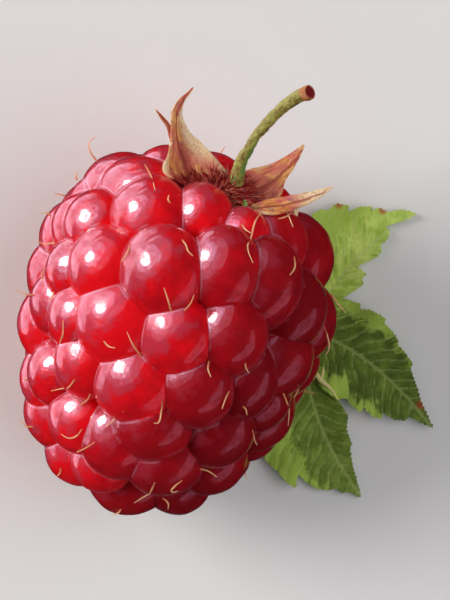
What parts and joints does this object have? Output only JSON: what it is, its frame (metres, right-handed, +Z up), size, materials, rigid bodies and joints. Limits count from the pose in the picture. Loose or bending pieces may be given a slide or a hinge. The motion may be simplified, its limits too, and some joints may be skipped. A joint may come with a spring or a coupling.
{
  "type": "raspberry",
  "caption": "Ripe raspberry lying on its side, with plump fused drupelets, a sepalled calyx, a curved stem and a small toothed leaf.",
  "frame": {"origin": "on the table, under the middle of the whole part's box", "axes": "+Z up from the table; +Y is the top of the view from above, where the stem points; +X is its right, where the leaf lies"},
  "size_m": [0.0302, 0.0307, 0.0224],
  "materials": {
    "berry": "glossy, juicy skin",
    "calyx": "dry, downy, matt",
    "stem": "downy, matt",
    "leaf": "soft, satin"
  },
  "bodies": {
    "root": {"berry": "berry", "calyx": "calyx", "stem": "stem", "leaf": "leaf"}
  },
  "joints": []
}
